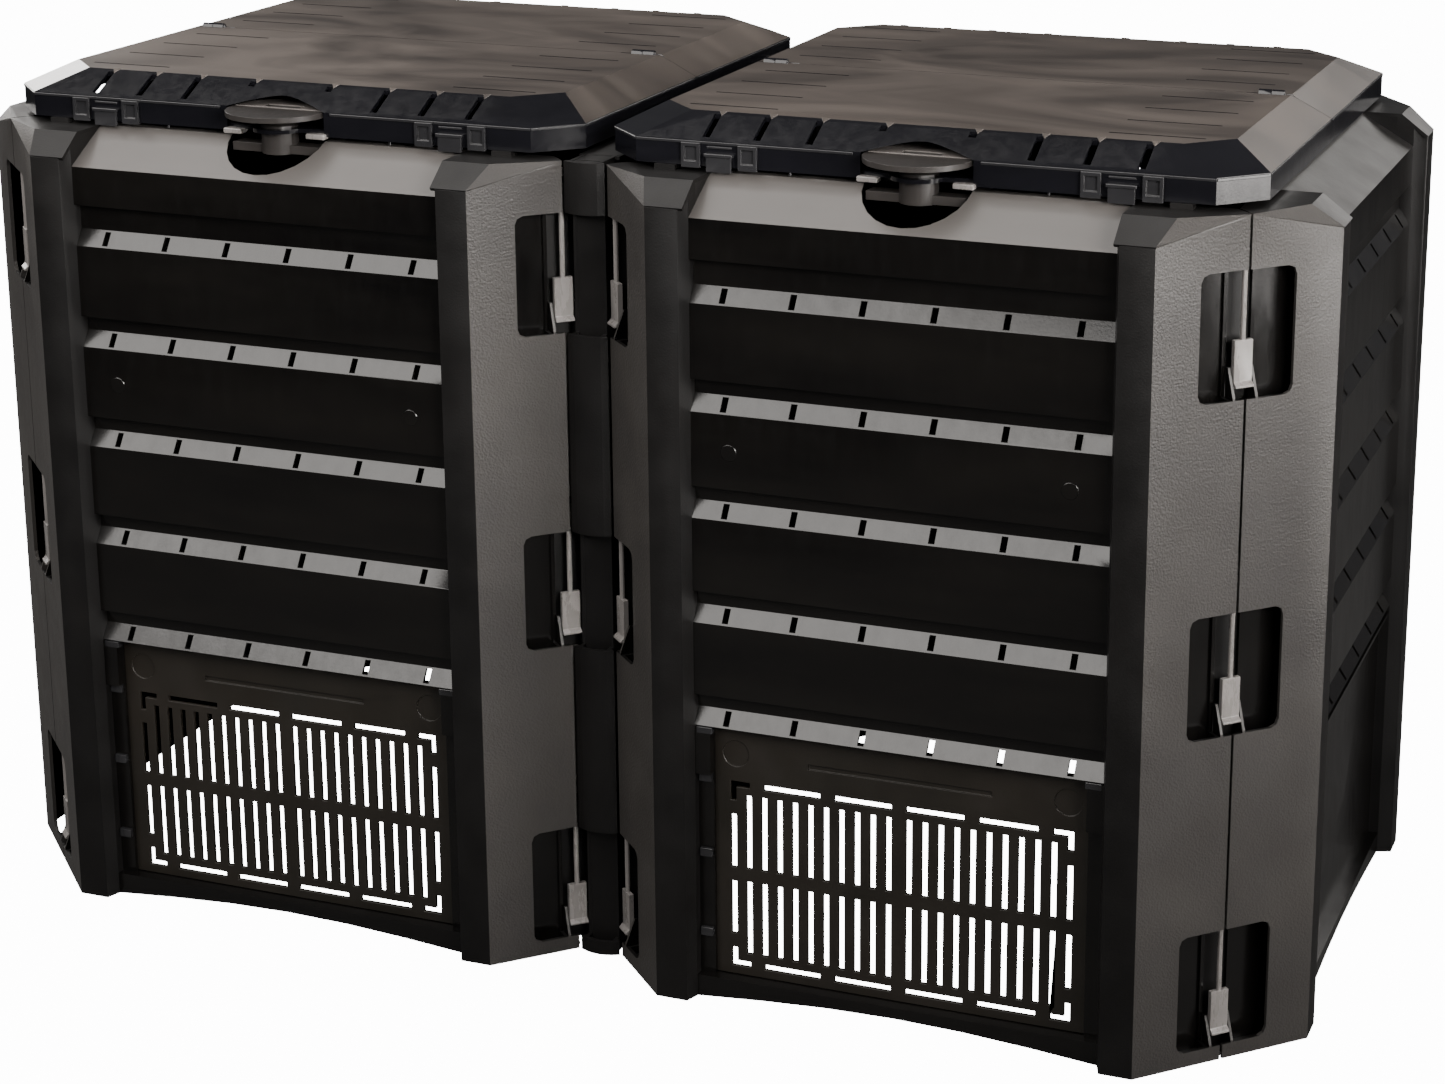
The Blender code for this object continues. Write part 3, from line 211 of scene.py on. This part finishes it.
def lid_satin():
    """Warm satin lid top, with pale flow marks curling away from the gates."""
    material, tree, shader = new_material("lid_satin")
    shader.inputs["Specular IOR Level"].default_value = 0.22
    where = tree.nodes.new("ShaderNodeTexCoord")
    mapping = tree.nodes.new("ShaderNodeMapping")
    mapping.inputs["Scale"].default_value = (1.0, 1.9, 1.0)
    tree.links.new(where.outputs["Object"], mapping.inputs["Vector"])
    warp = tree.nodes.new("ShaderNodeTexNoise")
    warp.inputs["Scale"].default_value = 3.2
    warp.inputs["Detail"].default_value = 4.0
    warp.inputs["Distortion"].default_value = 1.6
    tree.links.new(mapping.outputs["Vector"], warp.inputs["Vector"])
    flow = warp.outputs["Fac"]
    tree.links.new(ramp(tree, flow, 0.33, 0.68, (0.031, 0.026, 0.023), (0.078, 0.066, 0.058)),
                   shader.inputs["Base Color"])
    tree.links.new(map_range(tree, flow, 0.3, 0.7, 0.36, 0.50), shader.inputs["Roughness"])
    sink = place_noise(tree, 9.0, detail=2.0)
    waves = add_bump(tree, shader, sink, 0.0010, 0.35)
    grain = place_noise(tree, 900.0, detail=3.0)
    add_bump(tree, shader, grain, 0.00012, 0.35, waves)
    return material


def rod_steel():
    material, tree, shader = new_material("rod_steel")
    shader.inputs["Metallic"].default_value = 1.0
    streak = place_noise(tree, 300.0, (0.05, 1.0, 1.0), detail=5.0)
    tree.links.new(ramp(tree, streak, 0.3, 0.7, (0.30, 0.30, 0.31), (0.52, 0.52, 0.54)),
                   shader.inputs["Base Color"])
    tree.links.new(map_range(tree, streak, 0.3, 0.7, 0.25, 0.45), shader.inputs["Roughness"])
    return material


def floor_paper():
    """White paper: blown out where it is looked at, and dim in the reflections of the plastic."""
    material, tree, shader = new_material("floor_paper")
    tint = place_noise(tree, 2.0, detail=2.0)
    tree.links.new(ramp(tree, tint, 0.2, 0.8, (0.045, 0.045, 0.045), (0.060, 0.060, 0.060)),
                   shader.inputs["Base Color"])
    shader.inputs["Roughness"].default_value = 0.8
    shader.inputs["Emission Color"].default_value = (1.0, 1.0, 1.0, 1.0)
    seen = tree.nodes.new("ShaderNodeLightPath")
    tree.links.new(map_range(tree, seen.outputs["Is Camera Ray"], 0.0, 1.0, 0.0, 14.0),
                   shader.inputs["Emission Strength"])
    return material


# --- Modelling helpers -----------------------------------------------------------------------
def clear_choice():
    bpy.ops.object.select_all(action="DESELECT")


def pick(obj):
    clear_choice()
    obj.select_set(True)
    bpy.context.view_layer.objects.active = obj


def apply_modifier(obj, kind, **settings):
    pick(obj)
    modifier = obj.modifiers.new(kind.lower(), kind)
    for key, value in settings.items():
        setattr(modifier, key, value)
    bpy.ops.object.modifier_apply(modifier=modifier.name)


def settle(obj):
    """The object back at the origin, with its place in its mesh."""
    pick(obj)
    bpy.ops.object.transform_apply(location=True, rotation=True, scale=True)
    return obj


def soften(obj, width, segments=2, angle=30):
    pick(obj)
    bpy.ops.object.shade_smooth_by_angle(angle=math.radians(angle))
    apply_modifier(obj, "BEVEL", width=width, segments=segments, limit_method="ANGLE",
                   angle_limit=math.radians(angle), use_clamp_overlap=True, harden_normals=True)
    return obj


def block(name, low, high, edge=0.0006):
    """A small moulded block with softened edges."""
    low, high = Vector(low), Vector(high)
    clear_choice()
    bpy.ops.mesh.primitive_cube_add(size=1.0, location=(low + high) / 2)
    obj = bpy.context.active_object
    obj.name = name
    obj.scale = high - low
    settle(obj)
    if edge:
        soften(obj, edge)
    return obj


def turned(name, radius, low, high, centre=(0.0, 0.0), steps=48, edge=0.0006, top=None):
    """A disc or stud standing up, with its own radius at the top if it tapers."""
    clear_choice()
    bpy.ops.mesh.primitive_cone_add(vertices=steps, radius1=radius,
                                    radius2=radius if top is None else top, depth=high - low,
                                    location=(centre[0], centre[1], (low + high) / 2))
    obj = bpy.context.active_object
    obj.name = name
    settle(obj)
    if edge:
        soften(obj, edge, 2, 40)
    return obj


def merge(name, objs):
    """Several shapes as one piece."""
    clear_choice()
    for obj in objs:
        obj.select_set(True)
    bpy.context.view_layer.objects.active = objs[0]
    if len(objs) > 1:
        bpy.ops.object.join()
    obj = bpy.context.active_object
    obj.name = name
    obj.data.name = name
    return obj


def cut_with(obj, cutter):
    apply_modifier(obj, "BOOLEAN", operation="DIFFERENCE", solver="EXACT", object=cutter)
    bpy.data.objects.remove(cutter, do_unlink=True)
    return obj


def copy_of(obj, name, matrix):
    """A copy with its own mesh, moved or turned in its mesh."""
    twin = bpy.data.objects.new(name, obj.data.copy())
    bpy.context.scene.collection.objects.link(twin)
    twin.data.transform(matrix)
    return twin


def dress(obj, *materials):
    obj.data.materials.clear()
    for material in materials:
        obj.data.materials.append(material)
    return obj


def attach(obj, body):
    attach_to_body(obj, body)
    return obj


# --- Rounded copies of the mouldings ---------------------------------------------------------
def rounded_copy(node, edge, materials, chooser=None, segments=2):
    """The moulding with its edges eased, as a mould leaves them."""
    source = frame["nodes"][node]
    obj = bpy.data.objects.new(node + "_skin", source.data.copy())
    bpy.context.scene.collection.objects.link(obj)
    shape = bmesh.new()
    shape.from_mesh(obj.data)
    bmesh.ops.remove_doubles(shape, verts=shape.verts, dist=0.00002)
    bmesh.ops.dissolve_limit(shape, angle_limit=math.radians(0.5), verts=shape.verts,
                             edges=shape.edges)
    shape.to_mesh(obj.data)
    shape.free()
    dress(obj, *materials)
    if chooser:
        for face in obj.data.polygons:
            face.material_index = chooser(face.center, face.normal)
    if edge:
        soften(obj, edge, segments, 28)
    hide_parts(node)
    return obj


def body_of_node(node):
    for name, nodes in frame["record"]["behaviour"]["bodies"].items():
        if node in nodes:
            return name
    return "bin"


def panel_regions(along, module_x):
    """Picks the grain for posts and wings, and the gloss for the louvred field and its roof. The
    wings get a lighter copy of the plastic (painted light), the posts a darker copy (painted
    shade), and the roof a pale copy (painted light).
    """
    def choose(place, normal):
        across, deep = abs(place.x - module_x), abs(place.y)
        inside = (deep if along == "y" else across) < FIELD - 0.0005
        behind_wing = (WING_SUM - across - deep) * math.sqrt(0.5)
        if inside and place.z > ROOF_FOOT and normal.z > 0.6:
            return 2
        if inside:
            return 1
        if behind_wing > 0.006 and normal.z < 0.5:
            return 1 if abs(normal.x) > 0.4 and abs(normal.y) > 0.4 else 3
        return 0 if abs(normal.x) > 0.25 and abs(normal.y) > 0.25 else 3
    return choose


def flap_regions(place, normal):
    """Satin on the top and the side bevels, gloss on the front bevel, rim and corners."""
    if normal.z > 0.98 and place.z > LID_TOP - 0.002:
        return 0
    if abs(normal.x) > 0.3 and abs(normal.y) < 0.1 and normal.z > 0.3:
        return 0
    if normal.z < -0.5:
        return 2
    return 1


# --- Fittings, made for the front of a module that stands on the origin -----------------------
def clip_loop(x):
    """A square eye moulded on the rim, beside a clip's tongue."""
    loop = block("loop", (x - 0.009, -0.2995, 0.7805), (x + 0.009, -CLIP_BACK, 0.8030), 0)
    eye = block("eye", (x - 0.0058, -0.31, 0.7865), (x + 0.0058, -0.2972, 0.7995), 0)
    loop = cut_with(loop, eye)
    return soften(loop, 0.0005)


def clip_tab(x):
    """The sprung tongue between two eyes, with its lip."""
    tongue = block("tongue", (x - 0.0120, -0.3000, 0.7775), (x + 0.0120, -0.2965, 0.7920))
    lip = block("lip", (x - 0.0135, -0.3016, 0.7915), (x + 0.0135, -0.2965, 0.7945))
    bar = block("bar", (x - 0.0120, -0.2975, 0.7985), (x + 0.0120, -CLIP_BACK, 0.8005), 0.0004)
    return [tongue, lip, bar]


def lid_clips():
    shapes = []
    for side in (-1, 1):
        shapes += [clip_loop(side * 0.156), clip_loop(side * 0.210)]
        shapes += clip_tab(side * 0.183)
    return merge("lid_clips", shapes)


def rim_bead():
    """The thin raised line along the top of the rim, broken by the knob's opening."""
    shapes = []
    low, high = RIM_TOP - 0.0032, RIM_TOP - 0.0006
    proud, sunk, edge = 0.0009, 0.0008, 0.0005
    corner = RIM_SIDE - LID_CORNER
    half_slant = 0.0262
    for side in (-1, 1):
        near, far = sorted((side * KNOB_GAP, side * corner))
        shapes.append(block("bead", (near, -RIM_FACE - proud, low),
                            (far, -RIM_FACE + sunk, high), edge))
        slant = block("bead", (-half_slant, -proud, low), (half_slant, sunk, high), edge)
        middle = (side * (RIM_SIDE - LID_CORNER / 2), -RIM_FACE + LID_CORNER / 2, 0.0)
        turn = Matrix.Rotation(side * math.radians(45), 4, "Z")
        slant.data.transform(Matrix.Translation(middle) @ turn)
        shapes.append(slant)
        inner, outer = sorted((side * (RIM_SIDE - sunk), side * (RIM_SIDE + proud)))
        shapes.append(block("bead", (inner, -RIM_FACE + LID_CORNER + 0.0010, low),
                            (outer, -0.0060, high), edge))
    return merge("rim_bead", shapes)


def slot_corner(x):
    """The three-sided ramp at the head of a slot in the bevel."""
    clear_choice()
    bpy.ops.mesh.primitive_cone_add(vertices=3, radius1=0.0050, radius2=0.0042, depth=0.0007)
    ramp_piece = bpy.context.active_object
    tilt = Matrix.Rotation(math.atan2(LID_TOP - RIM_TOP, BEVEL_RUN), 4, "X")
    place = Matrix.Translation((x, -RIM_FACE + BEVEL_RUN - 0.0015, LID_TOP - 0.0005))
    ramp_piece.data.transform(place @ tilt @ Matrix.Rotation(math.radians(180), 4, "Z"))
    return soften(ramp_piece, 0.0001, 1)


def slot_corners():
    places = [side * line + 0.0035 for side in (-1, 1) for line in SLOT_LINES]
    return merge("slot_corners", [slot_corner(x) for x in places])


def rim_pegs():
    """Small studs under the rim, that keep it off the roof."""
    shapes = [turned("peg", 0.0015, 0.7785, 0.7830, (x, -0.2925), 16, 0.0004, 0.0011)
              for x in (-0.228, -0.118, 0.118, 0.228)]
    return merge("rim_pegs", shapes)


def knob_lugs():
    """The sloping lugs on either side of the knob's stem."""
    shapes = []
    for side in (-1, 1):
        low, high = sorted((side * 0.034, side * 0.0535))
        shapes.append(block("lug", (low, -0.3010, 0.7795), (high, -0.2890, 0.7846), 0.0012))
    return merge("knob_lugs", shapes)


def knob_plate():
    """The raised rear half of the knob's disc, round its grip slot."""
    plate = turned("knob_plate", 0.0475, 0.8037, 0.8047, (0.0, -KNOB_LINE), 64, 0)
    plate = cut_with(plate, block("front", (-0.06, -0.35, 0.80),
                                  (0.06, -KNOB_LINE + 0.0005, 0.81), 0))
    plate = cut_with(plate, block("slot", (-0.0185, -KNOB_LINE + 0.0035, 0.80),
                                  (0.0185, -KNOB_LINE + 0.0145, 0.81), 0))
    return soften(plate, 0.0003, 2)


def slat_marks():
    """Shallow round marks at the ends of the second slat."""
    shapes = []
    for side in (-1, 1):
        mark = turned("mark", 0.0080, -0.0004, 0.0004, (0.0, 0.0), 40, 0.0003, 0.0072)
        mark.data.transform(Matrix.Translation((side * 0.157, -0.3457, 0.535))
                            @ Matrix.Rotation(math.radians(90), 4, "X"))
        shapes.append(mark)
    return merge("slat_marks", shapes)


def hatch_tabs():
    """Guide tabs down the left jamb of the hatch, and hooks at the ends of the lowest ledge."""
    shapes = [block("tab", (-0.1915, -0.3405, z), (-0.1790, -0.3360, z + 0.0085))
              for z in TAB_HEIGHTS]
    for side in (-1, 1):
        low, high = sorted((side * 0.1760, side * 0.1915))
        shapes.append(block("hook", (low, -0.3450, 0.2640), (high, -0.3365, 0.2705), 0.0008))
    return merge("hatch_tabs", shapes)


def in_corner(piece, side, turns):
    """Moves a piece made in a corner's own frame (Y inwards from the wing) to its corner."""
    turn = Matrix.Rotation(math.radians(90 * turns), 4, "Z")
    slant = Matrix.Rotation(math.radians(45), 4, "Z")
    corner = Matrix.Translation((WING_SUM / 2, -WING_SUM / 2, 0.0)) @ slant
    piece.data.transform(Matrix.Translation((MODULES[side], 0.0, 0.0)) @ turn @ corner)
    return piece


def shade_web(side, turns, low, high):
    """Webs that close the foot of a corner, under its lowest window, and the back of its seam: dark
    sheets that paint shade where the inside of the bin shows only shade.
    """
    narrow, wide = 0.0128, 0.0230
    left, right = (-wide if low >= 0 else -narrow), (wide if high <= 0 else narrow)
    shapes = [block("foot", (low, 0.0015, 0.0030), (high, 0.0190, 0.0065), 0.0004),
              block("back", (left, 0.0188, 0.0030), (right, 0.0208, WEB_TOP), 0.0004)]
    return in_corner(merge(f"window_floor_{side}_{turns}", shapes), side, turns)


def seam_strip(side, turns):
    """The tongues behind the seam of a front or back panel and the divider, between the windows."""
    shapes = [block("strip", (-0.0060, 0.0040, low), (0.0060, 0.0060, high), 0.0004)
              for low, high in STRIP_SPANS]
    return in_corner(merge(f"seam_strip_{side}_{turns}", shapes), side, turns)


def placed(side, end):
    return Matrix.Translation((MODULES[side], 0.0, 0.0)) @ Matrix.Rotation(ENDS[end], 4, "Z")


def fit_out(piece, material, ends, body):
    """One copy of a fitting on every module end that has it; the pattern piece goes."""
    for side in MODULES:
        for end in ends:
            twin = copy_of(piece, f"{piece.name}_{end}_{side}_set", placed(side, end))
            attach(dress(twin, material), body.format(end=end, side=side))
    bpy.data.objects.remove(piece, do_unlink=True)


# --- Build -----------------------------------------------------------------------------------
add_camera()
add_studio()

# Wings and posts are one plastic: the lighter wing copy is painted light, and the darker post copy
# is painted shade.
wing_grain = grained_plastic("wing_grain", (0.025, 0.023, 0.022), (0.038, 0.035, 0.032),
                             520.0, 0.00060, 0.42, 0.54)
post_black = grained_plastic("post_black", (0.0020, 0.0018, 0.0018), (0.0045, 0.0040, 0.0038),
                             620.0, 0.00018, 0.42, 0.54, 0.35)
louvre_gloss = moulded_gloss("louvre_gloss", (0.002, 0.0018, 0.0018), (0.005, 0.0045, 0.004),
                             0.16, 0.28)
# The black plastic made pale on the front and back roofs: painted light. The side roofs keep the
# dark under_lid.
roof_satin = moulded_gloss("roof_satin", (0.066, 0.061, 0.057), (0.078, 0.072, 0.068),
                           0.29, 0.32, 0.7, 0.06)
rim_gloss = moulded_gloss("rim_gloss", (0.003, 0.003, 0.004), (0.007, 0.007, 0.009),
                          0.12, 0.22, 0.45)
under_lid = grained_plastic("under_lid", (0.008, 0.007, 0.007), (0.014, 0.013, 0.012),
                            500.0, 0.0002, 0.5, 0.6)
lid_top = lid_satin()
knob_black = moulded_gloss("knob_black", (0.020, 0.018, 0.017), (0.036, 0.032, 0.030), 0.28, 0.42)
# A paler copy of the knob's plastic for the raised rear half of its disc: painted light.
knob_light = moulded_gloss("knob_light", (0.100, 0.090, 0.085), (0.140, 0.128, 0.120), 0.30, 0.45)
# A light grey raised far above the black plastic, so the recessed and shaded pins and the knob lugs
# read bright: painted light.
pin_satin = moulded_gloss("pin_satin", (0.16, 0.15, 0.145), (0.24, 0.225, 0.215),
                          0.22, 0.38, 0.8)
clip_gloss = moulded_gloss("clip_gloss", (0.010, 0.010, 0.011), (0.022, 0.022, 0.024),
                           0.18, 0.30, 0.7)
hatch_brown = grained_plastic("hatch_brown", (0.008, 0.007, 0.005), (0.016, 0.013, 0.010),
                              800.0, 0.00012, 0.36, 0.50)
steel = rod_steel()

for node in frame["nodes"]:
    body = body_of_node(node)
    if "_wall_" in node or node == "divider_wall":
        side = "left" if node.endswith("left") else "right"
        skins = [wing_grain, louvre_gloss, roof_satin, post_black]
        if node == "divider_wall":
            skin = rounded_copy(node, 0.0009, [post_black])
        elif node.startswith("side"):
            skins[2] = under_lid
            skin = rounded_copy(node, 0.0009, skins, panel_regions("y", MODULES[side]))
        else:
            skin = rounded_copy(node, 0.0009, skins, panel_regions("x", MODULES[side]))
        attach(skin, body)
    elif node.startswith("lid_"):
        skin = rounded_copy(node, 0.0011, [lid_top, rim_gloss, under_lid], flap_regions)
        attach(skin, body)
    elif node.startswith("hatch_"):
        skin = rounded_copy(node, 0.0006, [hatch_brown])
        attach(skin, body)
    elif node.startswith("knob_"):
        skin = rounded_copy(node, 0.0007, [knob_black])
        attach(skin, body)
    elif node.startswith("pin_"):
        skin = rounded_copy(node, 0.0006, [pin_satin])
        attach(skin, body)
    else:
        dress(frame["nodes"][node], steel)

both = ("front", "back")
fit_out(lid_clips(), clip_gloss, both, "lid_{end}_{side}")
fit_out(rim_bead(), clip_gloss, both, "lid_{end}_{side}")
fit_out(slot_corners(), lid_top, both, "lid_{end}_{side}")
fit_out(rim_pegs(), clip_gloss, both, "lid_{end}_{side}")
fit_out(knob_lugs(), pin_satin, both, "lid_{end}_{side}")
# The knob plate's paler plastic is painted light on the rear half of the disc.
fit_out(knob_plate(), knob_light, both, "knob_{end}_{side}")
fit_out(slat_marks(), louvre_gloss, ("front",), "bin")
fit_out(hatch_tabs(), clip_gloss, ("front",), "bin")

# A corner at the divider has a foot web on one side of its seam only.
divider_corners = {("left", 0): (-SEAM_HALF, 0.0), ("left", 1): (0.0, SEAM_HALF),
                   ("right", 2): (-SEAM_HALF, 0.0), ("right", 3): (0.0, SEAM_HALF)}
# The dark webs in the darkest plastic stand in for the shade inside the bin: painted shade.
for side in MODULES:
    for turns in range(4):
        low, high = divider_corners.get((side, turns), (-SEAM_HALF, SEAM_HALF))
        attach(dress(shade_web(side, turns, low, high), post_black), "bin")

for side, turns in divider_corners:
    attach(dress(seam_strip(side, turns), wing_grain), "bin")
